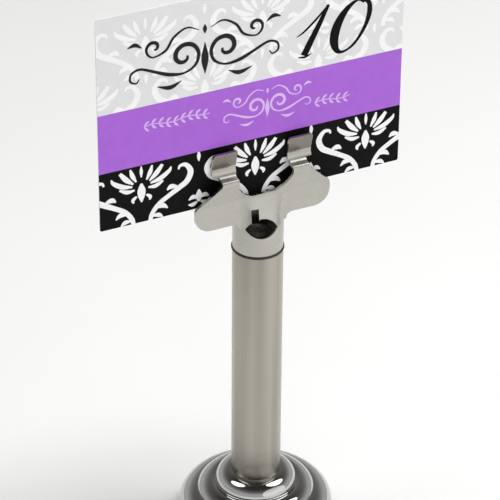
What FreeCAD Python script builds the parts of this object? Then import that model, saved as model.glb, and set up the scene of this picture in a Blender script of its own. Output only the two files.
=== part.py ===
import FreeCAD, Part
import cmath
import math
import os

# Table number holder: a weighted round base, a straight stem, and a clip head that turns
# on the stem and holds a printed card upright.
#
# Millimetres. +Z is up and the origin is the centre of the base's underside. The card
# stands in the XZ plane with its printed face towards -Y, so "front" is -Y.

V = FreeCAD.Vector

# ---- driving dimensions ------------------------------------------------------------
# Base
SHELL_WALL = 0.9
SHELL_TOP_Z = 27.0            # the stem stands here
SHELL_RIM_Z = 0.6             # lower edge of the shell, just clear of the table
SEAT_R = 10.4                 # flat on top of the shell under the stem
RING_R = (16.45, 23.55, 31.3)     # radius of each stepped round
RING_Z = (22.0, 18.2, 10.0)       # height at which each round is widest
RING_DROP = 0.8               # short straight drop under the two upper rounds
RING_LEDGE = 0.55             # ledge from one round out to the next
RING_SAG = (1.5, 1.1, 2.1)    # how far each round bulges past its chord
FELT_R = 29.5
FELT_T = 1.5
PLATE_R = 30.3
PLATE_T = 0.8
WEIGHT_BOTTOM_Z = 3.0
WEIGHT_R = 29.0
WEIGHT_SIDE_Z = 9.0
WEIGHT_SHOULDER = (22.0, 15.0)    # radius and height of the sloping top's inner edge
WEIGHT_HUB = (15.5, 16.5)
BOSS_R = 8.0
BOSS_FOOT_Z = 19.0
POCKET_R = 7.2                # pocket in the weight for the bolt's head and washers
POCKET_TOP_Z = 9.0

# Stem
STEM_R = 10.0
STEM_WALL = 1.0
STEM_LEN = 105.0
PLUG_LEN = 14.0
BOLT_R = 3.0                  # M6
BOLT_LEN = 33.0
BOLT_FLATS_R = 5.5            # to the corners of the hexagon
BOLT_HEAD_H = 4.0
WASHER_R = 6.2
WASHER_T = 1.2
LOCK_R = 5.2
LOCK_T = 1.4
LOCK_GAP = 1.0                # the split in the spring washer
THREAD_CLEAR = 0.02

# Swivel
GASKET_T = 1.0
GASKET_R = 10.4
GASKET_BORE_R = 6.0
FLOOR_T = 2.5
PIVOT_R = 3.0                 # smooth shoulder of the pivot screw
PIVOT_CLEAR = 0.05
PIVOT_THREAD_R = 2.5
PIVOT_THREAD_LEN = 10.0
PIVOT_HEAD_R = 5.0
PIVOT_HEAD_H = 3.2
PIVOT_SOCKET_R = 2.3
PIVOT_SOCKET_DEPTH = 1.8
DRAG_WASHER_R = 5.6
DRAG_WASHER_T = 0.6
RUN_GAP = 0.05                # vertical play between parts that turn on each other

# Neck (heights above the stem's rim)
NECK_R = 10.0
NECK_WALL = 1.2
NECK_TOP = 22.0
CAP_PLUG_FOOT = 20.9
CAP_TOP = 24.5
CAP_TOP_R = 5.2
CAP_SAG = 0.6
WINDOW_TURN = 16.4            # degrees from the front, towards -X
WINDOW_HALF_W = 6.3
WINDOW_TIP_Z = 12.8
WINDOW_TOP_Z = 17.1
WINDOW_FOOT_Z = 9.25
WINDOW_STEM_X = -2.4
WINDOW_STEM_W = 3.0
WINDOW_STEM_TOP = 20.8

# Front plate (heights above the stem's rim, depths measured forward from the axis)
SHEET = 1.2
PLATE_FRONT = 4.4             # face of the lobes
PLATE_BACK = PLATE_FRONT - SHEET
BEND_LOW = (PLATE_FRONT - SHEET / 2, 25.6)    # middle of the sheet where the arms lean out
CREST = (7.2, 35.9)           # fold where the arms turn back to the card
VALLEY = (0.85, 35.9)         # corner of the round valley that presses on the card
LIP_TIP = (4.63, 50.0)
BEND_R = (8.0, 0.9, 4.0)      # radius of each bend, at the middle of the sheet
PLATE_FOOT = 12.5
NOSE_TOP = 25.0               # the round of the neck has faded out into the plate here
NOSE_IN = 8.5                 # the flat of the plate starts this far out
NOSE_STEPS = 6
NOSE_POINTS = 9
FILLET = 2.5
LOBE_FOOT = 15.2
LOBE_HALF_W = 28.7
LOBE_CORNER_R = 6.0
LOBE_TOP_Z = 23.5
SHOULDER = (26.6, 27.0)       # where the lobe's round top becomes the sloping shoulder
ARM_FOOT = (20.4, 32.6)
ARM_OUT = 18.4
NOTCH_HALF_W = 11.5
NOTCH_FOOT = 26.4
NOTCH_FLAT = 4.5
NOTCH_SIDE_Z = 33.4
NOTCH_SAG = 1.0
LIP_IN = 11.0
LIP_OUT = 21.0
LIP_FOOT = 37.6
LIP_TOP = 47.6
LIP_ROUND = 1.2

# Tongue
TONGUE_T = 0.8
TONGUE_HALF_W = 7.0
TONGUE_ROOT = (-1.2, 25.2)    # depth and height of the line that it bends about
TONGUE_TOUCH = (0.15, 39.9)   # middle of the sheet where it presses on the card
TONGUE_TIP = (-2.6, 50.0)
TONGUE_ROUND = 4.0
ROOT_GAP = 0.1
PIN_R = 1.0
PIN_BACK = -5.4
PIN_X = 4.6
PIN_Z = 22.6

# Card
CARD_W = 127.0
CARD_H = 88.9
CARD_T = 0.5
CARD_DEPTH = 1.0              # middle of the card, forward from the axis
CARD_SHIFT = -3.2             # the card is clipped a little off centre
CARD_FOOT = 24.6
CARD_CORNER_R = 0.8

RIM_Z = SHELL_TOP_Z + STEM_LEN
LOCATE_CLEAR = 0.02           # between parts of one body that locate on each other
REACH = 60.0                  # longer than any cut needs to be


# ---- helpers -----------------------------------------------------------------------
def path_edges(points):
    """Edges through (a, b) points in the XZ plane. A point given as (a, b, c, d) is the
    end (c, d) of an arc through (a, b)."""
    edges = []
    here = points[0]
    for step in points[1:]:
        end = step[-2:]
        start_v, end_v = V(here[0], 0, here[1]), V(end[0], 0, end[1])
        if len(step) == 4:
            edges.append(Part.Arc(start_v, V(step[0], 0, step[1]), end_v).toShape())
        else:
            edges.append(Part.LineSegment(start_v, end_v).toShape())
        here = end
    return edges


def closed_face(points):
    """Face bounded by a path, which is closed with a straight line if it isn't yet."""
    closing = [points[0]] if points[-1][-2:] != points[0] else []
    return Part.Face(Part.Wire(path_edges(points + closing)))


def lathe(points):
    """Solid turned about Z from a closed (radius, height) path."""
    return closed_face(points).revolve(V(0, 0, 0), V(0, 0, 1), 360)


def bulge(start, end, sag):
    """Point in the middle of an arc that stands out from its chord by sag."""
    run, rise = end[0] - start[0], end[1] - start[1]
    length = math.hypot(run, rise)
    return ((start[0] + end[0]) / 2 - rise / length * sag,
            (start[1] + end[1]) / 2 + run / length * sag)


def rod(radius, z_low, z_high):
    return Part.makeCylinder(radius, z_high - z_low, V(0, 0, z_low))


def ring(bore, radius, z_low, z_high):
    return rod(radius, z_low, z_high).cut(rod(bore, z_low, z_high))


def hexagon(corner_r, z_low, z_high):
    corners = [V(corner_r * math.cos(math.radians(60 * i)),
                 corner_r * math.sin(math.radians(60 * i)), z_low) for i in range(7)]
    return Part.Face(Part.makePolygon(corners)).extrude(V(0, 0, z_high - z_low))


def block(x_low, x_high, front, back, z_low, z_high):
    """Box between two depths, both measured forward (-Y) from the axis."""
    return Part.makeBox(x_high - x_low, front - back, z_high - z_low, V(x_low, -front, z_low))


def raised(points):
    """The same path with heights measured from the stem's rim."""
    return [tuple(v + RIM_Z if i % 2 else v for i, v in enumerate(p)) for p in points]


def slab(points, front, back):
    """Outline in the XZ plane, given above the rim, extruded between two depths."""
    face = closed_face(raised(points))
    face.translate(V(0, -front, 0))
    return face.extrude(V(0, front - back, 0))


def beside(points, radii, gap):
    """Path that runs to the left of the line through points, which is rounded at each of
    its corners, at a distance of gap from it."""
    dots = [complex(*p) for p in points]
    legs = [(b - a) / abs(b - a) for a, b in zip(dots, dots[1:])]
    path = [dots[0] + 1j * legs[0] * gap]
    for corner, leg, next_leg, radius in zip(dots[1:], legs, legs[1:], radii):
        turn = cmath.phase(next_leg / leg)
        hand = math.copysign(1, turn)
        reach = radius * math.tan(abs(turn) / 2)
        centre = corner - leg * reach + 1j * leg * hand * radius
        inward = (corner - centre) / abs(corner - centre)
        path.append(corner - leg * reach + 1j * leg * gap)
        path.append((centre + inward * (radius - hand * gap),
                     corner + next_leg * reach + 1j * next_leg * gap))
    path.append(dots[-1] + 1j * legs[-1] * gap)
    steps = [step if isinstance(step, tuple) else (step,) for step in path]
    return [tuple(v for dot in step for v in (dot.real, dot.imag)) for step in steps]


def backwards(path):
    """The same path drawn from its end to its start."""
    ends = [step[-2:] for step in path]
    turned = [ends[-1]]
    for i in range(len(path) - 1, 0, -1):
        turned.append(path[i][:-2] + ends[i - 1])
    return turned


def bent_sheet(points, radii, thickness):
    """Closed side view of a sheet whose middle runs through the points."""
    return (beside(points, radii, thickness / 2)
            + backwards(beside(points, radii, -thickness / 2)))


def side_strip(points, half_width):
    """Closed side view of (depth, height) points above the rim, as wide as the part."""
    face = closed_face(raised(points))
    face.rotate(V(0, 0, 0), V(0, 0, 1), -90)
    face.translate(V(-half_width, 0, 0))
    return face.extrude(V(2 * half_width, 0, 0))


def mirrored(shape):
    """The shape and its mirror image across the YZ plane."""
    return [shape, shape.mirror(V(0, 0, 0), V(1, 0, 0))]


def save(name, shape):
    shape = shape.removeSplitter() if shape.ShapeType != "Compound" else shape
    if not shape.isValid():
        raise SystemExit(name + " is not valid")
    shape.exportStep("parts/" + name + ".step")
    print("%-16s %9.1f mm3, %d solid(s)" % (name, shape.Volume, len(shape.Solids)))


# ---- base --------------------------------------------------------------------------
def shell_path(inset):
    """Top of the stepped base, from the seat out to the widest round, set in by inset."""
    path = [(SEAT_R - inset, SHELL_TOP_Z - inset)]
    for i, (radius, height) in enumerate(zip(RING_R, RING_Z)):
        crest = (radius - inset, height - inset)
        path.append(bulge(path[-1][-2:], crest, RING_SAG[i]) + crest)
        if i < len(RING_R) - 1:
            path.append((crest[0], crest[1] - RING_DROP))
            path.append((crest[0] + RING_LEDGE, crest[1] - RING_DROP))
    return path


def base_shell():
    bore = BOLT_R + THREAD_CLEAR
    outside = [(bore, SHELL_TOP_Z)] + shell_path(0)
    inside = backwards(shell_path(SHELL_WALL))
    return lathe(outside + [(RING_R[-1], SHELL_RIM_Z), (RING_R[-1] - SHELL_WALL, SHELL_RIM_Z)]
                 + inside + [(bore, SHELL_TOP_Z - SHELL_WALL)])


def base_weight():
    boss_top = SHELL_TOP_Z - SHELL_WALL
    bore = BOLT_R + THREAD_CLEAR
    return lathe([(POCKET_R, WEIGHT_BOTTOM_Z), (WEIGHT_R, WEIGHT_BOTTOM_Z),
                  (WEIGHT_R, WEIGHT_SIDE_Z), WEIGHT_SHOULDER, WEIGHT_HUB,
                  (BOSS_R, BOSS_FOOT_Z), (BOSS_R, boss_top), (bore, boss_top),
                  (bore, POCKET_TOP_Z), (POCKET_R, POCKET_TOP_Z)])


def make_base():
    save("base_shell", base_shell())
    save("base_weight", base_weight())
    save("base_plate", rod(PLATE_R, FELT_T, FELT_T + PLATE_T))
    save("felt_pad", rod(FELT_R, 0, FELT_T))


# ---- stem --------------------------------------------------------------------------
def make_stem():
    bore = STEM_R - STEM_WALL
    plug_r = bore - LOCATE_CLEAR
    save("stem_tube", ring(bore, STEM_R, SHELL_TOP_Z, RIM_Z))
    save("foot_plug", ring(BOLT_R + THREAD_CLEAR, plug_r, SHELL_TOP_Z, SHELL_TOP_Z + PLUG_LEN))
    save("rim_plug", ring(PIVOT_THREAD_R + THREAD_CLEAR, plug_r, RIM_Z - PLUG_LEN, RIM_Z))

    washer_low = POCKET_TOP_Z - WASHER_T
    lock_low = washer_low - LOCK_T
    bore = BOLT_R + THREAD_CLEAR
    save("stem_washer", ring(bore, WASHER_R, washer_low, POCKET_TOP_Z))
    split = Part.makeBox(LOCK_R, LOCK_GAP, LOCK_T, V(0, -LOCK_GAP / 2, lock_low))
    save("lock_washer", ring(bore, LOCK_R, lock_low, washer_low).cut(split))
    head = hexagon(BOLT_FLATS_R, lock_low - BOLT_HEAD_H, lock_low)
    save("stem_bolt", head.fuse(rod(BOLT_R, lock_low, lock_low + BOLT_LEN)))


# ---- swivel ------------------------------------------------------------------------
def make_swivel():
    floor_low = RIM_Z + GASKET_T
    floor_high = floor_low + FLOOR_T
    washer_low = floor_high + RUN_GAP
    head_low = washer_low + DRAG_WASHER_T
    save("rim_gasket", ring(GASKET_BORE_R, GASKET_R, RIM_Z, floor_low - RUN_GAP))
    save("drag_washer", ring(PIVOT_R + PIVOT_CLEAR, DRAG_WASHER_R, washer_low, head_low))

    thread = rod(PIVOT_THREAD_R, RIM_Z - PIVOT_THREAD_LEN, RIM_Z)
    shoulder = rod(PIVOT_R, RIM_Z, head_low)
    head = rod(PIVOT_HEAD_R, head_low, head_low + PIVOT_HEAD_H)
    head_top = head_low + PIVOT_HEAD_H
    socket = hexagon(PIVOT_SOCKET_R, head_top - PIVOT_SOCKET_DEPTH, head_top)
    save("pivot_screw", thread.fuse(shoulder).fuse(head).cut(socket))

    plate_r = NECK_R - NECK_WALL - LOCATE_CLEAR
    save("neck_floor", ring(PIVOT_R + PIVOT_CLEAR, plate_r, floor_low, floor_high))


# ---- neck --------------------------------------------------------------------------
def window_cutter():
    """Almond-shaped opening with a short slot above it, turned to one side."""
    almond = slab([(-WINDOW_HALF_W, WINDOW_TIP_Z),
                   (0, WINDOW_TOP_Z, WINDOW_HALF_W, WINDOW_TIP_Z),
                   (0, WINDOW_FOOT_Z, -WINDOW_HALF_W, WINDOW_TIP_Z)], REACH, 0)
    left = WINDOW_STEM_X - WINDOW_STEM_W / 2
    slot = block(left, left + WINDOW_STEM_W, REACH, 0,
                 RIM_Z + WINDOW_TIP_Z, RIM_Z + WINDOW_STEM_TOP)
    cutter = almond.fuse(slot)
    cutter.rotate(V(0, 0, 0), V(0, 0, 1), -WINDOW_TURN)
    return cutter


def plate_cutter():
    """Everything in front of the plate's back and above its foot."""
    return block(-REACH, REACH, REACH, PLATE_BACK - LOCATE_CLEAR,
                 RIM_Z + PLATE_FOOT - LOCATE_CLEAR, RIM_Z + REACH)


def foot_cutter():
    """Room for the foot of the tongue in the cap."""
    middle = TONGUE_ROOT[0]
    half = TONGUE_T / 2 + LOCATE_CLEAR
    width = TONGUE_HALF_W + LOCATE_CLEAR
    return block(-width, width, middle + half, middle - half,
                 RIM_Z + CAP_PLUG_FOOT, RIM_Z + REACH)


def pins(extra=0.0):
    """The two cross pins, or with some extra radius the holes for them."""
    length = PLATE_BACK - LOCATE_CLEAR - PIN_BACK
    return Part.makeCompound([
        Part.makeCylinder(PIN_R + extra, length, V(x, -PIN_BACK, RIM_Z + PIN_Z), V(0, -1, 0))
        for x in (-PIN_X, PIN_X)])


def neck_sleeve():
    sleeve = ring(NECK_R - NECK_WALL, NECK_R, RIM_Z + GASKET_T, RIM_Z + NECK_TOP)
    return sleeve.cut(window_cutter()).cut(plate_cutter())


def neck_cap():
    """Domed plug that closes the back of the neck and carries the plate and the tongue."""
    plug_r = NECK_R - NECK_WALL - LOCATE_CLEAR
    edge, top = (NECK_R, NECK_TOP), (CAP_TOP_R, CAP_TOP)
    mid = bulge(edge, top, -CAP_SAG)
    cap = lathe(raised([(0, CAP_PLUG_FOOT), (plug_r, CAP_PLUG_FOOT), (plug_r, NECK_TOP), edge,
                        mid + top, (0, CAP_TOP)]))
    return cap.cut(plate_cutter()).cut(foot_cutter()).cut(pins(LOCATE_CLEAR))


# ---- front plate -------------------------------------------------------------------
def nose_line(radius, base, fade, height):
    """Front edge of one level cut through the nose: a round of the neck, flattened."""
    half = math.sqrt(radius ** 2 - base ** 2)
    points = []
    for i in range(NOSE_POINTS):
        x = half * math.sin(math.pi * (i / (NOSE_POINTS - 1) - 0.5))
        depth = base + (math.sqrt(radius ** 2 - x ** 2) - base) * fade
        points.append(V(x, -depth, height))
    curve = Part.BSplineCurve()
    curve.interpolate(points)
    return curve.toShape(), points[0], points[-1]


def nose():
    """The part of the sheet in which the round neck fades out into the flat plate."""
    levels = []
    for i in range(NOSE_STEPS + 1):
        share = i / NOSE_STEPS
        fade = 1 - share
        height = RIM_Z + PLATE_FOOT + share * (NOSE_TOP - PLATE_FOOT)
        outer, outer_left, outer_right = nose_line(NECK_R, PLATE_FRONT, fade, height)
        inner, inner_left, inner_right = nose_line(NECK_R - SHEET, PLATE_BACK, fade, height)
        levels.append(Part.Wire([outer, Part.LineSegment(outer_right, inner_right).toShape(),
                                 inner, Part.LineSegment(inner_left, outer_left).toShape()]))
    return Part.makeLoft(levels, True, False)


def half_outline():
    """Front view of the plate's right half, with its nose left out."""
    diagonal = 1 / math.sqrt(2)
    foot_end = NECK_R + FILLET
    corner = (LOBE_HALF_W - LOBE_CORNER_R, LOBE_FOOT + LOBE_CORNER_R)
    round_off = LIP_ROUND * (1 - diagonal)
    return [(0, NOSE_TOP), (NOSE_IN, NOSE_TOP), (NOSE_IN, PLATE_FOOT), (NECK_R, PLATE_FOOT),
            (foot_end - FILLET * diagonal, LOBE_FOOT - FILLET * (1 - diagonal),
             foot_end, LOBE_FOOT),
            (corner[0], LOBE_FOOT),
            (corner[0] + LOBE_CORNER_R * diagonal, corner[1] - LOBE_CORNER_R * diagonal,
             LOBE_HALF_W, corner[1]),
            (LOBE_HALF_W, LOBE_TOP_Z),
            bulge((LOBE_HALF_W, LOBE_TOP_Z), SHOULDER, -SHEET / 2) + SHOULDER,
            ARM_FOOT,
            bulge(ARM_FOOT, (ARM_OUT, CREST[1]), SHEET / 4) + (ARM_OUT, CREST[1]),
            (ARM_OUT, LIP_FOOT), (LIP_OUT, LIP_FOOT), (LIP_OUT, LIP_TOP - LIP_ROUND),
            (LIP_OUT - round_off, LIP_TOP - round_off, LIP_OUT - LIP_ROUND, LIP_TOP),
            (LIP_IN, LIP_TOP), (LIP_IN, LIP_FOOT), (NOTCH_HALF_W, LIP_FOOT),
            (NOTCH_HALF_W, NOTCH_SIDE_Z),
            bulge((NOTCH_HALF_W, NOTCH_SIDE_Z), (NOTCH_FLAT, NOTCH_FOOT), -NOTCH_SAG)
            + (NOTCH_FLAT, NOTCH_FOOT),
            (0, NOTCH_FOOT)]


def front_plate():
    foot = (BEND_LOW[0], PLATE_FOOT)
    side = bent_sheet([foot, BEND_LOW, CREST, VALLEY, LIP_TIP], BEND_R, SHEET)
    formed = side_strip(side, LOBE_HALF_W + SHEET)
    halves = [formed.common(half) for half in mirrored(slab(half_outline(), REACH, 0))]
    return halves[0].fuse(halves[1]).fuse(nose()).cut(window_cutter())


# ---- tongue ------------------------------------------------------------------------
def tongue_side():
    """Side view of the leaf: rounded root, leaning in to the card, then flared back."""
    half = TONGUE_T / 2
    root, touch, tip = TONGUE_ROOT, TONGUE_TOUCH, TONGUE_TIP
    return [(root[0] + half, root[1]), (touch[0] + half, touch[1]), (tip[0] + half, tip[1]),
            (tip[0] - half, tip[1]), (touch[0] - half, touch[1]), (root[0] - half, root[1]),
            (root[0], root[1] - half, root[0] + half, root[1])]


def rear_tongue():
    low, high = TONGUE_ROOT[1] - TONGUE_T, TONGUE_TIP[1]
    inset = TONGUE_HALF_W - TONGUE_ROUND
    cut_in = TONGUE_ROUND * (1 - 1 / math.sqrt(2))
    outline = slab([(-TONGUE_HALF_W, low), (TONGUE_HALF_W, low),
                    (TONGUE_HALF_W, high - TONGUE_ROUND),
                    (TONGUE_HALF_W - cut_in, high - cut_in, inset, high), (-inset, high),
                    (-TONGUE_HALF_W + cut_in, high - cut_in,
                     -TONGUE_HALF_W, high - TONGUE_ROUND)], REACH, -REACH)
    return side_strip(tongue_side(), TONGUE_HALF_W).common(outline)


def make_clip():
    save("neck_sleeve", neck_sleeve())
    save("neck_cap", neck_cap())
    save("front_plate", front_plate())
    save("rear_tongue", rear_tongue())
    foot_mid = TONGUE_ROOT[0]
    foot_top = TONGUE_ROOT[1] - TONGUE_T / 2 - ROOT_GAP
    foot = block(-TONGUE_HALF_W, TONGUE_HALF_W, foot_mid + TONGUE_T / 2, foot_mid - TONGUE_T / 2,
                 RIM_Z + CAP_PLUG_FOOT, RIM_Z + foot_top)
    save("tongue_foot", foot.cut(pins(LOCATE_CLEAR)))
    save("clamp_pins", pins())


# ---- card --------------------------------------------------------------------------
def make_card():
    card = block(CARD_SHIFT - CARD_W / 2, CARD_SHIFT + CARD_W / 2,
                 CARD_DEPTH + CARD_T / 2, CARD_DEPTH - CARD_T / 2,
                 RIM_Z + CARD_FOOT, RIM_Z + CARD_FOOT + CARD_H)
    corners = [e for e in card.Edges if abs(e.Length - CARD_T) < LOCATE_CLEAR]
    save("card", card.makeFillet(CARD_CORNER_R, corners))


os.makedirs("parts", exist_ok=True)
make_base()
make_stem()
make_swivel()
make_clip()
make_card()
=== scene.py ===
import math

import bmesh
import bpy
from mathutils import Matrix, Vector


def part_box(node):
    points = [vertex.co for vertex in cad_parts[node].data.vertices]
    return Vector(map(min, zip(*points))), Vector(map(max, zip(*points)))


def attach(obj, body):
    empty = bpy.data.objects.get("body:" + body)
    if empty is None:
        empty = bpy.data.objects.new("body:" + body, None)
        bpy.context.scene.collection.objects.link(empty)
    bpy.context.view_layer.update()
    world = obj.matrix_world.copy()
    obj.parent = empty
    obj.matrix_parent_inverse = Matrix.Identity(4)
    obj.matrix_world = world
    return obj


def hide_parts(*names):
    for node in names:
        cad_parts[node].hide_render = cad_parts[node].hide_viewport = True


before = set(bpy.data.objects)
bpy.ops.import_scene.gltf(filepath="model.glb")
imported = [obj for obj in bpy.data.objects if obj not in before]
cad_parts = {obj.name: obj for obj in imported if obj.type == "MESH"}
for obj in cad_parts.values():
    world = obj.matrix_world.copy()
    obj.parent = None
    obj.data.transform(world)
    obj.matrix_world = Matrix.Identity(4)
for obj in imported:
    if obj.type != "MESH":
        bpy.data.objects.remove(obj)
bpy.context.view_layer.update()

MM = 0.001
SMOOTH_ANGLE = math.radians(32)

# ---- where the frame puts things (mm) ----------------------------------------------
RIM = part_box("stem_tube")[1][2] / MM            # top of the stem
STEM_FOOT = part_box("stem_tube")[0][2] / MM
STEM_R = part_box("stem_tube")[1][0] / MM
GASKET_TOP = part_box("rim_gasket")[1][2] / MM
GASKET_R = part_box("rim_gasket")[1][0] / MM
NECK_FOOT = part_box("neck_sleeve")[0][2] / MM
NECK_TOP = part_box("neck_sleeve")[1][2] / MM
SHELL_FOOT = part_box("base_shell")[0][2] / MM
CARD_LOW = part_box("card")[0] / MM
CARD_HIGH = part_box("card")[1] / MM


# ---- camera ------------------------------------------------------------------------
CAM_TURN = math.radians(26.45)      # the card is seen from the left of its front
CAM_PITCH = 0.5417
CAM_ROLL = 0.0092
CAM_DISTANCE = 940.42
CAM_HEIGHT = 579.35                 # above the stem's rim
CAM_LENS = 204.56
CAM_SHIFT = (-0.016, -0.0668)


def add_camera():
    """Long lens from the left front, looking down on the card."""
    data = bpy.data.cameras.new("camera")
    data.lens = CAM_LENS
    data.sensor_width = 36.0
    data.shift_x, data.shift_y = CAM_SHIFT
    data.clip_start = 0.05
    cam = bpy.data.objects.new("camera", data)
    bpy.context.scene.collection.objects.link(cam)
    turn = Matrix.Rotation(-CAM_TURN, 4, "Z")
    tilt = Matrix.Rotation(math.pi / 2 - CAM_PITCH, 4, "X")
    roll = Matrix.Rotation(CAM_ROLL, 4, "Z")
    place = Matrix.Translation((0, -CAM_DISTANCE * MM, CAM_HEIGHT * MM))
    cam.matrix_world = Matrix.Translation((0, 0, RIM * MM)) @ turn @ place @ tilt @ roll
    bpy.context.scene.camera = cam


# ---- materials ---------------------------------------------------------------------
class Nodes:
    """Short calls for building one material's node tree."""

    def __init__(self, name):
        self.material = bpy.data.materials.new(name)
        self.material.use_nodes = True
        self.tree = self.material.node_tree
        self.shader = self.tree.nodes["Principled BSDF"]
        self.place = self.add("ShaderNodeTexCoord").outputs["Object"]

    def add(self, kind, **settings):
        node = self.tree.nodes.new(kind)
        for key, value in settings.items():
            setattr(node, key, value)
        return node

    def link(self, source, target):
        self.tree.links.new(source, target)

    def stretched(self, scale):
        node = self.add("ShaderNodeMapping")
        node.inputs["Scale"].default_value = scale
        self.link(self.place, node.inputs["Vector"])
        return node.outputs["Vector"]

    def noise(self, scale, detail=4.0, roughness=0.55, stretch=(1, 1, 1)):
        node = self.add("ShaderNodeTexNoise")
        node.inputs["Scale"].default_value = scale
        node.inputs["Detail"].default_value = detail
        node.inputs["Roughness"].default_value = roughness
        self.link(self.stretched(stretch), node.inputs["Vector"])
        return node.outputs["Fac"]

    def cells(self, scale, stretch=(1, 1, 1)):
        node = self.add("ShaderNodeTexVoronoi")
        node.inputs["Scale"].default_value = scale
        self.link(self.stretched(stretch), node.inputs["Vector"])
        return node.outputs["Distance"]

    def ramp(self, value, stops):
        node = self.add("ShaderNodeValToRGB")
        ramp = node.color_ramp
        while len(ramp.elements) < len(stops):
            ramp.elements.new(1.0)
        for element, (position, colour) in zip(ramp.elements, stops):
            element.position = position
            element.color = (*colour, 1)
        self.link(value, node.inputs["Fac"])
        return node.outputs["Color"]

    def spread(self, value, low, high):
        node = self.add("ShaderNodeMapRange")
        node.inputs["From Min"].default_value = 0.3
        node.inputs["From Max"].default_value = 0.7
        node.inputs["To Min"].default_value = low
        node.inputs["To Max"].default_value = high
        self.link(value, node.inputs["Value"])
        return node.outputs["Result"]

    def colour(self, value, dark, light):
        self.link(self.ramp(value, [(0.3, dark), (0.7, light)]),
                  self.shader.inputs["Base Color"])

    def rough(self, value, low, high):
        self.link(self.spread(value, low, high), self.shader.inputs["Roughness"])

    def bump(self, *layers):
        """Bumps laid over each other, each given as a height value, strength and depth."""
        normal = None
        for value, strength, depth in layers:
            node = self.add("ShaderNodeBump")
            node.inputs["Strength"].default_value = strength
            node.inputs["Distance"].default_value = depth * MM
            self.link(value, node.inputs["Height"])
            if normal:
                self.link(normal, node.inputs["Normal"])
            normal = node.outputs["Normal"]
        self.link(normal, self.shader.inputs["Normal"])

    def fixed(self, **values):
        for key, value in values.items():
            self.shader.inputs[key.replace("_", " ")].default_value = value


def shade(colour, factor):
    return tuple(channel * factor for channel in colour)


def metal(name, colour, rough, grain, streak, smudge=120, depth=0.02, contrast=0.06,
          patches=(1, 1, 0.6)):
    """Metal with a fine grain, drawn out along one direction, and faint smudges."""
    n = Nodes(name)
    n.fixed(Metallic=1.0)
    fine = n.noise(grain, 3.0, 0.6, streak)
    n.colour(n.noise(smudge, 3.0, 0.5, patches), shade(colour, 1 - contrast),
             shade(colour, 1 + contrast))
    n.rough(n.noise(smudge * 1.7, 4.0, 0.6), *rough)
    n.bump((fine, 0.35, depth))
    return n.material


def painted(name, colour, rough, grain, depth, contrast=0.12, specular=0.5):
    """Paint, plastic or board with a mottled colour and a grained surface."""
    n = Nodes(name)
    n.fixed(Specular_IOR_Level=specular)
    fine = n.noise(grain, 5.0, 0.65)
    n.colour(n.noise(grain * 0.22, 4.0, 0.6), shade(colour, 1 - contrast), shade(colour, 1 + contrast))
    n.rough(fine, *rough)
    n.bump((fine, 0.5, depth))
    return n.material


def zinc_metal():
    n = Nodes("zinc")
    n.fixed(Metallic=1.0)
    spangle = n.cells(700)
    n.colour(spangle, (0.40, 0.41, 0.42), (0.60, 0.61, 0.62))
    n.rough(n.noise(500), 0.28, 0.45)
    n.bump((spangle, 0.3, 0.03), (n.noise(3000), 0.2, 0.01))
    return n.material


def felt_cloth():
    n = Nodes("felt")
    n.fixed(Specular_IOR_Level=0.2, Sheen_Weight=0.5, Sheen_Roughness=0.6)
    fibre = n.noise(2600, 6.0, 0.75)
    n.colour(fibre, (0.010, 0.016, 0.013), (0.045, 0.062, 0.052))
    n.rough(n.noise(900), 0.85, 1.0)
    n.bump((fibre, 0.9, 0.25), (n.noise(300), 0.4, 0.3))
    return n.material


def printed(name, colour, contrast=0.03, rough=(0.5, 0.62), specular=0.25):
    """Ink on smooth card stock: paper fibres show faintly through it."""
    n = Nodes(name)
    n.fixed(Specular_IOR_Level=specular)
    fibre = n.noise(1800, 6.0, 0.7, (1, 1, 2.2))
    n.colour(n.noise(260, 4.0, 0.6), shade(colour, 1 - contrast), shade(colour, 1 + contrast))
    n.rough(fibre, *rough)
    n.bump((fibre, 0.25, 0.012))
    return n.material


def make_materials():
    return {
        "chrome": metal("chrome", (0.54, 0.54, 0.535), (0.035, 0.075), 900, (1, 1, 5),
                        depth=0.002, contrast=0.02),
        "satin": metal("satin", (0.40, 0.375, 0.325), (0.27, 0.36), 2600, (1, 1, 0.08),
                       smudge=190, depth=0.010, contrast=0.12, patches=(1, 1, 0.012)),
        "sheet": metal("sheet", (0.46, 0.45, 0.405), (0.25, 0.33), 3200, (1, 1, 0.35),
                       depth=0.008, contrast=0.04),
        # the lips: a darker, browner copy of the sheet metal, a painted reflection of a dark ceiling
        "lip_painted_reflection": metal("lip_painted_reflection", (0.25, 0.225, 0.195), (0.25, 0.33), 3200, (1, 1, 0.35),
                     depth=0.008, contrast=0.10),
        "zinc": zinc_metal(),
        "iron": painted("iron", (0.030, 0.030, 0.032), (0.45, 0.65), 420, 0.25),
        "nylon": painted("nylon", (0.022, 0.018, 0.014), (0.42, 0.55), 900, 0.03),
        "felt": felt_cloth(),
        "stock": printed("stock", (0.83, 0.83, 0.82), 0.02),
        "ink_pale": printed("ink_pale", (0.76, 0.76, 0.775), 0.015),
        "ink_purple": printed("ink_purple", (0.40, 0.135, 0.68), 0.035),
        "ink_black": printed("ink_black", (0.004, 0.004, 0.004), 0.15, specular=0.08),
        "ink_white": printed("ink_white", (0.93, 0.93, 0.93), 0.015),
        "ink_grey": printed("ink_grey", (0.018, 0.018, 0.018), 0.15, specular=0.1),
        "ink_lilac": printed("ink_lilac", (0.74, 0.50, 0.88), 0.03),
    }


# ---- mesh helpers ------------------------------------------------------------------
def soften(mesh, angle=SMOOTH_ANGLE):
    """Smooth shading, with the edges that turn by more than angle kept crisp."""
    bm = bmesh.new()
    bm.from_mesh(mesh)
    bmesh.ops.recalc_face_normals(bm, faces=bm.faces)
    for face in bm.faces:
        face.smooth = True
    for edge in bm.edges:
        edge.smooth = len(edge.link_faces) == 2 and edge.calc_face_angle(0) < angle
    bm.to_mesh(mesh)
    bm.free()


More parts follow.
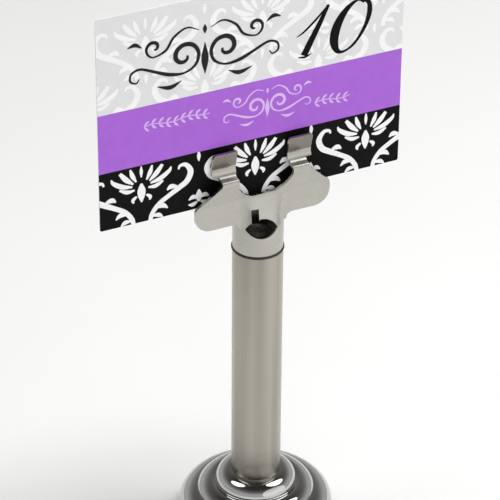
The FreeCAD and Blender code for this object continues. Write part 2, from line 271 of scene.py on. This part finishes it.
def solid(name, points, faces, *materials):
    """Object from points in millimetres."""
    mesh = bpy.data.meshes.new(name)
    mesh.from_pydata([Vector(p) * MM for p in points], [], faces)
    soften(mesh)
    for material in materials:
        mesh.materials.append(material)
    piece = bpy.data.objects.new(name, mesh)
    bpy.context.scene.collection.objects.link(piece)
    return piece


def stand_for(piece, body, slot, *nodes):
    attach(piece, body)
    if nodes:
        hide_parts(*nodes)
    return piece


def arc_points(start, end, sag, steps):
    """Points of an arc that bulges from its chord by sag, without its start."""
    a, b = Vector(start), Vector(end)
    half = (b - a).length / 2
    radius = (half ** 2 + sag ** 2) / (2 * abs(sag))
    normal = Vector((-(b - a).y, (b - a).x)).normalized() * math.copysign(1, sag)
    centre = (a + b) / 2 + normal * (abs(sag) - radius)
    first = a - centre
    sweep = 2 * math.asin(half / radius) * -math.copysign(1, sag)
    points = []
    for i in range(1, steps + 1):
        turned = Matrix.Rotation(sweep * i / steps, 2) @ first
        points.append(tuple(centre + turned))
    return points


def rounded(points, steps=5):
    """Closed outline of (a, b, radius) corners, each drawn as an arc of that radius."""
    out = []
    count = len(points)
    for i, (a, b, radius) in enumerate(points):
        here = Vector((a, b))
        if radius == 0:
            out.append(tuple(here))
            continue
        back = (Vector(points[i - 1][:2]) - here).normalized()
        ahead = (Vector(points[(i + 1) % count][:2]) - here).normalized()
        half = back.angle(ahead) / 2
        centre = here + (back + ahead).normalized() * radius / math.sin(half)
        start = here + back * radius / math.tan(half) - centre
        end = here + ahead * radius / math.tan(half) - centre
        sweep = math.atan2(start.x * end.y - start.y * end.x, start.dot(end))
        for k in range(steps + 1):
            out.append(tuple(centre + Matrix.Rotation(sweep * k / steps, 2) @ start))
    return out


def lathe(name, outline, segments, *materials):
    """Solid turned about the stem's axis from a closed (radius, height) outline."""
    count = len(outline)
    points = [(r * math.cos(2 * math.pi * s / segments), r * math.sin(2 * math.pi * s / segments), z)
              for s in range(segments) for r, z in outline]
    faces = []
    for s in range(segments):
        here, there = s * count, (s + 1) % segments * count
        for k in range(count):
            after = (k + 1) % count
            faces.append((here + k, there + k, there + after, here + after))
    return solid(name, points, faces, *materials)


def prism(name, outline, front, back):
    """Outline of (x, z) points extruded between two depths in front of the axis."""
    count = len(outline)
    points = [(x, -front, z) for x, z in outline] + [(x, -back, z) for x, z in outline]
    faces = [tuple(range(count)), tuple(range(2 * count - 1, count - 1, -1))]
    faces += [(k, count + k, count + (k + 1) % count, (k + 1) % count) for k in range(count)]
    return solid(name, points, faces)


def carve(piece, tool, operation):
    """Applies a boolean with a helper object, which is then deleted."""
    modifier = piece.modifiers.new("carve", "BOOLEAN")
    modifier.operation = operation
    modifier.solver = "EXACT"
    modifier.object = tool
    bpy.context.view_layer.update()
    done = bpy.data.meshes.new_from_object(
        piece.evaluated_get(bpy.context.evaluated_depsgraph_get()))
    piece.modifiers.clear()
    piece.data = done
    bpy.data.objects.remove(tool)
    soften(done)


# ---- base and stem -----------------------------------------------------------------
SHELL_WALL = 0.9
SEAT_R = 10.4
RING_R = (16.45, 23.55, 31.3)
RING_Z = (22.0, 18.2, 10.0)
RING_SAG = (1.5, 1.1, 2.1)
RING_DROP = 0.8
RING_LEDGE = 0.55
ARC_STEPS = 14
BOLT_BORE_R = 3.05
TUBE_WALL = 1.0
TUBE_EDGE = 0.15                    # rounding of the tube's cut ends
GASKET_BORE_R = 6.0


def shell_line(inset, edge):
    """Top of the stepped base as (radius, height, corner radius), from the seat outwards."""
    line = [(SEAT_R - inset, STEM_FOOT - inset, edge)]
    for i, (radius, height) in enumerate(zip(RING_R, RING_Z)):
        crest = (radius - inset, height - inset)
        arc = arc_points(line[-1][:2], crest, RING_SAG[i], ARC_STEPS)
        line += [(r, z, 0) for r, z in arc[:-1]]
        if i < len(RING_R) - 1:
            line += [(*crest, edge), (crest[0], crest[1] - RING_DROP, edge * 0.6),
                     (crest[0] + RING_LEDGE, crest[1] - RING_DROP, 0)]
        else:
            line.append((*crest, 0))
    return line


def make_base(m):
    outside = [(BOLT_BORE_R, STEM_FOOT, 0)] + shell_line(0, 0.18)
    outside += [(RING_R[-1], SHELL_FOOT, 0.3), (RING_R[-1] - SHELL_WALL, SHELL_FOOT, 0.3)]
    inside = shell_line(SHELL_WALL, 0.1)[::-1] + [(BOLT_BORE_R, STEM_FOOT - SHELL_WALL, 0)]
    shell = lathe("base_shell_spun", rounded(outside + inside, 3), 192, m["chrome"])
    stand_for(shell, "stand", "chrome", "base_shell")


def make_stem(m):
    tube = lathe("stem_tube_drawn", rounded([
        (STEM_R - TUBE_WALL, STEM_FOOT, 0), (STEM_R, STEM_FOOT, TUBE_EDGE), (STEM_R, RIM, TUBE_EDGE),
        (STEM_R - TUBE_WALL, RIM, TUBE_EDGE)], 3), 160, m["satin"])
    stand_for(tube, "stand", "satin_nickel", "stem_tube")
    gasket = lathe("rim_gasket_moulded", rounded([
        (GASKET_BORE_R, RIM, 0.1), (GASKET_R, RIM, 0.25), (GASKET_R, GASKET_TOP, 0.25),
        (GASKET_BORE_R, GASKET_TOP, 0.1)], 4), 128, m["nylon"])
    stand_for(gasket, "stand", "nylon", "rim_gasket")


# ---- clip (heights above the stem's rim, depths forward from the axis) ---------------
NECK_R = 10.0
NECK_WALL = 1.2
SHEET = 1.2
PLATE_FRONT = 4.4
PLATE_BACK = PLATE_FRONT - SHEET
PLATE_FOOT = 12.5
NOSE_TOP = 25.0
PAINTED_REFLECTION_Z = 40.6                   # above this the metal is painted browner and darker, a painted reflection of a dark ceiling
NOSE_BLEND = 1.6                    # width of the soft edge between nose and plate
SHEET_LINE = ((3.8, 11.0), (3.8, 25.6), (7.2, 35.9), (0.85, 35.9), (4.63, 50.0))
BEND_R = (8.0, 0.9, 4.0)
WINDOW_TURN = math.radians(16.4)
WINDOW_HALF_W = 6.3
WINDOW_TIP_Z = 12.8
WINDOW_TOP_SAG = 4.3
WINDOW_FOOT_SAG = 3.55
WINDOW_STEM = (-3.9, -0.9, 20.8)        # left, right and top of the short slot


def sheet_stations():
    """(depth, height, slope direction) along the middle of the formed sheet."""
    dots = [Vector(p) for p in SHEET_LINE]
    legs = [(b - a).normalized() for a, b in zip(dots, dots[1:])]
    stations = []
    here = dots[0]
    for corner, leg, after, radius in zip(dots[1:], legs, legs[1:], BEND_R):
        turn = math.atan2(leg.x * after.y - leg.y * after.x, leg.dot(after))
        start = corner - leg * radius * math.tan(abs(turn) / 2)
        steps = max(2, round((start - here).length / 0.7))
        stations += [(here.lerp(start, k / steps), leg) for k in range(steps)]
        side = Vector((-leg.y, leg.x)) * math.copysign(radius, turn)
        centre = start + side
        for k in range(10):
            spin = Matrix.Rotation(turn * k / 10, 2)
            stations.append((centre + spin @ (start - centre), spin @ leg))
        here = centre + Matrix.Rotation(turn, 2) @ (start - centre)
    steps = max(2, round((dots[-1] - here).length / 0.7))
    stations += [(here.lerp(dots[-1], k / steps), legs[-1]) for k in range(steps + 1)]
    return stations


def nose_depth(x, base, radius, height):
    """Depth of a face of the sheet where the round neck fades into the flat plate."""
    fade = 1 - min(max((height - PLATE_FOOT) / (NOSE_TOP - PLATE_FOOT), 0), 1)
    if fade == 0:
        return base
    turned = math.sqrt(max(radius ** 2 - x ** 2, 0)) - max(abs(x) - radius, 0)
    nose = base + (turned - base) * fade
    width = NOSE_BLEND * min(1, fade * 3)
    near = max(width - abs(nose - base), 0) / width
    return max(nose, base) + near ** 2 * width / 4


def sheet_columns(radius, base, reach):
    """Positions across the sheet, close together where the neck curves away."""
    half = math.asin(math.sqrt(radius ** 2 - base ** 2) / radius)
    nose = [radius * math.sin(half * k / 20) for k in range(-20, 21)]
    wing = [nose[-1] + (reach - nose[-1]) * (k / 22) ** 1.6 for k in range(1, 23)]
    return [-x for x in reversed(wing)] + nose + wing


def formed_sheet(m):
    """The whole bent sheet, before its outline is cut."""
    reach = 30.0
    faces_at = ((1, NECK_R, PLATE_FRONT), (-1, NECK_R - SHEET, PLATE_BACK))
    grids = []
    for side, radius, base in faces_at:
        rows = []
        for middle, leg in sheet_stations():
            face = middle + Vector((leg.y, -leg.x)) * side * SHEET / 2
            row = []
            for x in sheet_columns(radius, base, reach):
                depth = face.x
                if face.y < NOSE_TOP:
                    depth += nose_depth(x, base, radius, face.y) - base
                row.append((x, -depth, RIM + face.y))
            rows.append(row)
        grids.append(rows)
    rows, columns = len(grids[0]), len(grids[0][0])
    points = [p for grid in grids for row in grid for p in row]
    size = rows * columns
    faces = []
    for r in range(rows - 1):
        for c in range(columns - 1):
            k = r * columns + c
            faces.append((k, k + 1, k + columns + 1, k + columns))
            faces.append((size + k, size + k + columns, size + k + columns + 1, size + k + 1))
    border = ([c for c in range(columns)] + [r * columns + columns - 1 for r in range(1, rows)]
              + [(rows - 1) * columns + c for c in range(columns - 2, -1, -1)]
              + [r * columns for r in range(rows - 2, 0, -1)])
    for a, b in zip(border, border[1:] + border[:1]):
        faces.append((a, size + a, size + b, b))
    sheet = solid("front_plate_formed", points, faces, m["sheet"], m["lip_painted_reflection"])
    # faces high up on the lips get the darker metal, a painted reflection of a dark ceiling
    for face in sheet.data.polygons:
        face.material_index = int(face.center.z > (RIM + PAINTED_REFLECTION_Z) * MM)
    return sheet


def plate_outline():
    """Front view of the plate, both halves."""
    half = [(0, PLATE_FOOT, 0), (NECK_R, PLATE_FOOT, 0), (NECK_R, 15.2, 2.5), (28.7, 15.2, 6.5),
            (28.7, 25.4, 3.0), (25.6, 28.0, 4.0), (18.4, 35.0, 3.0), (18.4, 37.6, 0),
            (21.0, 37.6, 0.3), (21.0, 47.6, 1.2), (11.0, 47.6, 0.5), (11.0, 37.6, 0.3),
            (11.5, 37.6, 0), (11.5, 32.4, 3.0), (9.2, 28.9, 5.0), (5.2, 26.4, 2.0),
            (0, 26.4, 0)]
    right = rounded(half, 6)
    right = right[1:-1]
    left = [(-x, z) for x, z in reversed(right)]
    return [(x, RIM + z) for x, z in [(0, PLATE_FOOT)] + right + [(0, 26.4)] + left]


def window_tool():
    """Almond-shaped opening with a short slot above it, turned to one side."""
    tip = WINDOW_HALF_W
    left, right, top = WINDOW_STEM
    upper = arc_points((tip, WINDOW_TIP_Z), (-tip, WINDOW_TIP_Z), -WINDOW_TOP_SAG, 24)
    lower = arc_points((-tip, WINDOW_TIP_Z), (tip, WINDOW_TIP_Z), -WINDOW_FOOT_SAG, 24)
    upper = [p for p in upper if not left < p[0] < right]
    spot = next(i for i, p in enumerate(upper) if p[0] <= left)
    stem = [(right, WINDOW_TIP_Z + 3.6), (right, top), (left, top), (left, WINDOW_TIP_Z + 2.4)]
    outline = upper[:spot] + stem + upper[spot:] + lower
    tool = prism("window", [(x, RIM + z) for x, z in outline], 30, 0)
    tool.matrix_world = Matrix.Rotation(-WINDOW_TURN, 4, "Z")
    return tool


def make_clip(m):
    plate = formed_sheet(m)
    carve(plate, prism("outline", plate_outline(), 30, -10), "INTERSECT")
    carve(plate, window_tool(), "DIFFERENCE")
    stand_for(plate, "head", "sheet_nickel", "front_plate")

    neck = lathe("neck_sleeve_formed", [
        (NECK_R - NECK_WALL, NECK_FOOT), (NECK_R - 0.12, NECK_FOOT), (NECK_R, NECK_FOOT + 0.12),
        (NECK_R, RIM + PLATE_FOOT), (NECK_R, NECK_TOP), (NECK_R - NECK_WALL, NECK_TOP)],
        192, m["sheet"])
    room = [(-20, RIM + PLATE_FOOT), (20, RIM + PLATE_FOOT), (20, RIM + 30), (-20, RIM + 30)]
    carve(neck, prism("room", room, 20, PLATE_BACK), "DIFFERENCE")
    carve(neck, window_tool(), "DIFFERENCE")
    stand_for(neck, "head", "sheet_nickel", "neck_sleeve")


# ---- card --------------------------------------------------------------------------
BAND_Z = (24.6, 49.3)               # upper edges of the black and the purple band


def make_card(m):
    low, high = CARD_LOW, CARD_HIGH
    corner = 0.8
    outline = rounded([(low.x, low.z, corner), (high.x, low.z, corner),
                       (high.x, high.z, corner), (low.x, high.z, corner)], 5)
    card = prism("card_printed", outline, -low.y, -high.y)
    mesh = card.data
    for name in ("stock", "ink_black", "ink_purple", "ink_pale"):
        mesh.materials.append(m[name])
    bm = bmesh.new()
    bm.from_mesh(mesh)
    for z in BAND_Z:
        bmesh.ops.bisect_plane(bm, geom=bm.verts[:] + bm.edges[:] + bm.faces[:],
                               plane_co=(0, 0, (low.z + z) * MM), plane_no=(0, 0, 1))
    for face in bm.faces:
        face.smooth = False
        if face.normal.y < -0.9:
            height = face.calc_center_median().z / MM - low.z
            face.material_index = 1 + sum(height > z for z in BAND_Z)
    bm.to_mesh(mesh)
    bm.free()
    stand_for(card, "card", "card", "card")


# ---- print on the card (mm from its lower left corner) -------------------------------
INK_T = 0.03                        # thickness of the ink above the card
INK_SINK = 0.1                      # how far it reaches into the card
INK_STEP = 0.001                    # each stroke lies this much higher than the last
INK_LEVELS = 24                     # after this many strokes the heights start again
INK_OVER = 0.04                     # the figures and scrolls lie over the pattern
ROW_STEP = 0.0001                   # rise along a stroke, so that it can cross itself
STROKE_STEPS = 9
REPEAT = 47.5                       # from one damask flower to the next
FIRST_FLOWER = 17.2
PRINT_MARGIN = 0.05                 # between the print and the edges of its field
# Each row of flowers, as its height above the card's foot and its shift to the right.
DARK_ROWS = ((0, 0),)
PALE_ROWS = ((61.5, 2.5), (38.0, REPEAT / 2 + 2.5))

# Strokes are rows of (x, z, width) points. These are the right half of one damask repeat.
DAMASK = (
    ((0, 19.4, 0.4), (0, 21.8, 1.3), (0, 24.2, 0.5)),
    ((2.1, 17.9, 0.6), (3.6, 20.8, 1.8), (4.5, 23.7, 0.7)),
    ((3.3, 17.2, 0.7), (6.2, 19.8, 2.1), (8.7, 23.0, 1.3)),
    ((3.7, 16.1, 0.7), (7.7, 17.1, 2.0), (11.3, 19.4, 1.6), (12.3, 21.2, 0.5)),
    ((2.8, 14.5, 0.7), (5.9, 14.4, 1.7), (9.0, 15.9, 0.8)),
    ((0, 16.8, 0.8), (0, 14.0, 3.2), (0, 11.4, 2.8), (0, 8.7, 0.5)),
    ((2.0, 11.6, 0.8), (3.5, 10.3, 1.5), (3.3, 8.9, 0.5)),
    ((15.3, 19.1, 0.7), (16.0, 20.5, 1.2), (18.4, 20.4, 1.7), (20.3, 17.2, 2.4),
     (18.9, 13.4, 2.5), (15.3, 11.0, 2.3), (11.4, 8.8, 2.0), (7.0, 6.0, 2.0), (4.2, 2.4, 1.9),
     (3.4, -0.6, 1.7)),
    ((14.6, 11.9, 1.0), (12.2, 12.4, 2.1), (10.5, 11.3, 0.6)),
    ((6.4, 4.7, 0.9), (8.8, 5.0, 2.0), (10.7, 3.5, 0.5)),
    ((4.6, 1.5, 0.8), (6.9, 1.4, 1.8), (8.7, 0.1, 0.4)),
    ((23.75, 20.6, 0.4), (23.75, 22.7, 1.5), (23.75, 24.6, 0.8)),
    ((23.75, 3.0, 1.0), (23.75, 5.6, 2.8), (23.75, 8.3, 0.6)),
    ((23.0, 4.7, 0.8), (21.3, 5.5, 1.9), (19.5, 4.5, 0.5)),
    ((23.0, 3.1, 0.8), (21.1, 2.2, 1.8), (19.3, 2.5, 0.4)),
)
NUMERAL_ONE = (
    ((81.6, 64.0, 0.3), (84.6, 65.6, 0.8), (89.4, 69.6, 0.9), (94.9, 75.0, 0.6)),
    ((94.7, 74.8, 1.3), (91.0, 67.6, 2.2), (87.4, 60.8, 2.7), (84.7, 55.6, 2.9)),
    ((82.4, 55.2, 0.5), (85.2, 54.9, 0.9), (87.8, 55.8, 0.4)),
)
NUMERAL_ZERO = (
    ((110.0, 73.0, 1.2), (107.0, 74.2, 1.0), (102.4, 71.2, 2.4), (98.8, 65.6, 3.7), (97.4, 59.6, 3.8),
     (98.6, 54.9, 2.3), (101.4, 53.6, 1.0), (105.8, 55.8, 1.1), (110.0, 61.4, 1.5),
     (112.2, 67.4, 2.1), (112.0, 72.0, 1.9), (110.0, 73.6, 1.2), (107.6, 74.2, 0.9)),
)
# The right half of the scrolled ornament, measured from its middle.
SCROLL_TAILS = (
    ((0, -8.6, 0.3), (0, -2.2, 3.0), (0, 4.4, 0.3)),
    ((0, 8.2, 0.4), (0, 10.0, 1.7), (0, 11.8, 0.4)),
    ((9.6, -9.4, 0.3), (14.2, -11.2, 1.8), (19.4, -9.8, 0.3)),
    ((25.4, 7.6, 0.3), (28.2, 9.4, 1.7), (31.2, 8.6, 0.3)),
)
SCROLL_CURLS = (        # eye, inner and outer radius, start, sweep, widest stroke, tail
    ((8.4, 0.6), 1.2, 7.0, 180, 450, 1.9,
     ((14.4, -5.8, 1.5), (20.2, -3.4, 1.2), (26.2, -1.0, 1.0), (29.8, -2.2, 0.9),
      (30.2, -5.2, 0.8), (27.8, -6.4, 0.6), (26.6, -4.8, 0.4))),
    ((20.6, 6.6), 0.7, 3.8, 270, -360, 1.4,
     ((15.8, 4.6, 1.0), (12.6, 9.2, 1.0), (7.4, 12.0, 0.7), (2.4, 10.2, 0.3))),
)
ORNAMENTS = (("print_flourish", "ink_grey", (43.6, 66.0), 1.0),
             ("print_swash", "ink_lilac", (69.6, 38.2), 0.6))
VINES = ((18.6, 40.6, 10, 3.0), (89.8, 34.2, 6, 3.0))      # start, height, leaves, spacing


def stroke_faces(bm, stroke, flip, shift, level):
    """Ribbon through (x, z, width) points, smooth between them, as one row of faces."""
    dots = [Vector(p) for p in stroke]
    ends = [dots[0] * 2 - dots[1]] + dots + [dots[-1] * 2 - dots[-2]]
    line = []
    for a, b, c, d in zip(ends, ends[1:], ends[2:], ends[3:]):
        for k in range(STROKE_STEPS):
            t = k / STROKE_STEPS
            line.append(0.5 * (2 * b + (c - a) * t + (2 * a - 5 * b + 4 * c - d) * t ** 2
                               + (3 * b - a - 3 * c + d) * t ** 3))
    line.append(dots[-1])
    rows = []
    for k, point in enumerate(line):
        ahead = (line[min(k + 1, len(line) - 1)] - line[max(k - 1, 0)]).xy.normalized()
        side = Vector((-ahead.y, ahead.x)) * max(point.z, 0.15) / 2
        ends = [point.xy + side, point.xy - side]
        lift = -level - k * ROW_STEP
        rows.append([bm.verts.new(((x * flip + shift[0]) * MM, lift * MM, (z + shift[1]) * MM))
                     for x, z in ends])
    for here, there in zip(rows, rows[1:]):
        bm.faces.new((here[0], here[1], there[1], there[0]))


def printed_ink(name, strokes, limits, material, base=0):
    """Thin layer of ink on the card, from strokes clipped to a window of the card."""
    bm = bmesh.new()
    for k, (stroke, flip, shift) in enumerate(strokes):
        stroke_faces(bm, stroke, flip, shift, base + k % INK_LEVELS * INK_STEP)
    for place, axis in ((limits[0], (-1, 0, 0)), (limits[1], (1, 0, 0)),
                        (limits[2], (0, 0, -1)), (limits[3], (0, 0, 1))):
        plane = [place * MM * abs(v) for v in axis]
        bmesh.ops.bisect_plane(bm, geom=bm.verts[:] + bm.edges[:] + bm.faces[:],
                               plane_co=plane, plane_no=axis, clear_outer=True)
    for vert in bm.verts:
        vert.co += Vector((CARD_LOW.x * MM, CARD_LOW.y * MM + INK_SINK * MM, CARD_LOW.z * MM))
    raised = bmesh.ops.extrude_face_region(bm, geom=bm.faces[:])
    for item in raised["geom"]:
        if isinstance(item, bmesh.types.BMVert):
            item.co.y -= (INK_T + INK_SINK) * MM
    bmesh.ops.recalc_face_normals(bm, faces=bm.faces)
    mesh = bpy.data.meshes.new(name)
    bm.to_mesh(mesh)
    bm.free()
    mesh.materials.append(material)
    piece = bpy.data.objects.new(name, mesh)
    bpy.context.scene.collection.objects.link(piece)
    stand_for(piece, "card", "card")


def damask(rows):
    """The damask strokes on each repeat, at the given heights above the card's foot."""
    strokes = []
    for lift, offset in rows:
        for repeat in range(-1, 4):
            shift = (FIRST_FLOWER + offset + repeat * REPEAT, lift)
            for stroke in DAMASK:
                on_axis = stroke[0][0] in (0, REPEAT / 2)
                strokes += [(stroke, flip, shift) for flip in ((1,) if on_axis else (1, -1))]
    return strokes


def curl(eye, inner, outer, start, sweep, widest, tail):
    """Spiral stroke that opens from its eye and runs out into a tail."""
    steps = round(abs(sweep) / 45)
    points = []
    for k in range(steps + 1):
        share = k / steps
        angle = math.radians(start + sweep * share)
        radius = inner + (outer - inner) * share
        width = widest * (0.45 + 0.55 * math.sin(math.pi * share))
        points.append((eye[0] + radius * math.cos(angle), eye[1] + radius * math.sin(angle), width))
    return points + list(tail)


def ornament(middle, scale):
    """Scrolls and leaves that are mirrored about the ornament's middle."""
    half = list(SCROLL_TAILS) + [curl(*values) for values in SCROLL_CURLS]
    strokes = []
    for stroke in half:
        sized = [tuple(v * scale for v in point) for point in stroke]
        strokes += [(sized, flip, middle) for flip in ((1,) if stroke[0][0] == 0 else (1, -1))]
    return strokes


def vine_strokes():
    """Sprigs of small leaves on a thin stalk, to the left and right of the lilac scrolls."""
    strokes = []
    for start, height, leaves, step in VINES:
        stalk = [(start + k * step, height + 0.5 * math.sin(k * 1.3), 0.35) for k in range(leaves)]
        strokes.append(stalk)
        for k, (x, z, _) in enumerate(stalk[:-1]):
            for side in (1, -1):
                strokes.append(((x, z, 0.2), (x + 1.0, z + side * 1.3, 0.9),
                                (x + 2.1, z + side * 2.1, 0.2)))
    return strokes


def print_card(m):
    width = CARD_HIGH.x - CARD_LOW.x - PRINT_MARGIN
    height = CARD_HIGH.z - CARD_LOW.z - PRINT_MARGIN
    printed_ink("print_damask_dark", damask(DARK_ROWS),
                (PRINT_MARGIN, width, PRINT_MARGIN, BAND_Z[0] - PRINT_MARGIN), m["ink_white"])
    printed_ink("print_damask_pale", damask(PALE_ROWS),
                (PRINT_MARGIN, width, BAND_Z[1] + PRINT_MARGIN, height), m["ink_white"])
    whole = (PRINT_MARGIN, width, PRINT_MARGIN, height)
    for name, strokes, ink in (("print_numeral_1", NUMERAL_ONE, "ink_black"),
                               ("print_numeral_0", NUMERAL_ZERO, "ink_black"),
                               ("print_sprigs", vine_strokes(), "ink_lilac")):
        printed_ink(name, [(stroke, 1, (0, 0)) for stroke in strokes], whole, m[ink], INK_OVER)
    for name, ink, middle, scale in ORNAMENTS:
        printed_ink(name, ornament(middle, scale), whole, m[ink], INK_OVER)


# ---- light and floor ---------------------------------------------------------------
# Brightness of the surroundings, from straight down (0) past the horizon (0.5) to straight up (1).
SKY = (
    (0.46, (0.34, 0.34, 0.34)), (0.52, (0.56, 0.56, 0.555)), (0.64, (0.56, 0.56, 0.555)),
    (0.80, (0.17, 0.165, 0.155)), (0.93, (0.045, 0.040, 0.036)),
)
FLOOR_REACH = 8.0
# Each lamp: name, place, what it points at, size (m), power and whether metal mirrors it.
LAMPS = (
    ("softbox_right", (0.66, -0.14, 1.13), (0, 0, 0.08), 0.75, 4.2, True),
    ("softbox_left", (-0.58, 0.29, 1.13), (0, 0, 0.08), 0.65, 2.9, True),
    ("low_panel", (0.75, -1.45, 0.42), (0, 0, 0.15), 2.2, 8.0, True),
    ("overhead", (0.50, -0.25, 1.55), (0, 0, 0), 0.6, 13.5, False),
    ("front_fill", (-0.55, -1.35, 0.75), (0, 0, 0.15), 0.9, 2.5, False),
)


def area_light(name, place, target, size, power, mirrored):
    data = bpy.data.lights.new(name, "AREA")
    data.shape = "DISK"
    data.size = size
    data.energy = power
    light = bpy.data.objects.new(name, data)
    light.visible_glossy = mirrored
    bpy.context.scene.collection.objects.link(light)
    aim = Vector(target) - Vector(place)
    light.matrix_world = Matrix.Translation(place) @ aim.to_track_quat("-Z", "Y").to_matrix().to_4x4()


def make_stage():
    reach = FLOOR_REACH
    mesh = bpy.data.meshes.new("floor")
    mesh.from_pydata([(-reach, -reach, 0), (reach, -reach, 0), (reach, reach, 0), (-reach, reach, 0)],
                     [], [(0, 1, 2, 3)])
    mesh.materials.append(painted("floor_paper", (0.93, 0.93, 0.93), (0.85, 0.95), 30, 0.05,
                                  contrast=0.01, specular=0.2))
    floor = bpy.data.objects.new("floor", mesh)
    bpy.context.scene.collection.objects.link(floor)

    world = bpy.data.worlds.new("studio")
    bpy.context.scene.world = world
    world.use_nodes = True
    tree = world.node_tree
    place = tree.nodes.new("ShaderNodeTexCoord")
    split = tree.nodes.new("ShaderNodeSeparateXYZ")
    height = tree.nodes.new("ShaderNodeMapRange")
    height.inputs["From Min"].default_value = -1
    ramp = tree.nodes.new("ShaderNodeValToRGB")
    tree.links.new(place.outputs["Generated"], split.inputs[0])
    tree.links.new(split.outputs["Z"], height.inputs["Value"])
    tree.links.new(height.outputs["Result"], ramp.inputs["Fac"])
    tree.links.new(ramp.outputs["Color"], tree.nodes["Background"].inputs["Color"])
    while len(ramp.color_ramp.elements) < len(SKY):
        ramp.color_ramp.elements.new(1.0)
    for element, (position, colour) in zip(ramp.color_ramp.elements, SKY):
        element.position = position
        element.color = (*colour, 1)
    tree.nodes["Background"].inputs["Strength"].default_value = 1.0

    for lamp in LAMPS:
        area_light(*lamp)


# ---- build -------------------------------------------------------------------------
NODE_FINISH = {
    "base_weight": "iron", "base_plate": "zinc", "felt_pad": "felt", "foot_plug": "zinc",
    "rim_plug": "zinc", "stem_bolt": "zinc", "stem_washer": "zinc", "lock_washer": "zinc",
    "pivot_screw": "zinc", "drag_washer": "zinc", "neck_floor": "zinc", "clamp_pins": "zinc",
    "neck_cap": "sheet", "tongue_foot": "sheet", "rear_tongue": "sheet",
}

add_camera()
materials = make_materials()
make_stage()
make_base(materials)
make_stem(materials)
make_clip(materials)
make_card(materials)
print_card(materials)
for node, finish in NODE_FINISH.items():
    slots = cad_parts[node].data.materials
    slots.clear()
    slots.append(materials[finish])
bpy.context.scene.view_settings.view_transform = "Standard"
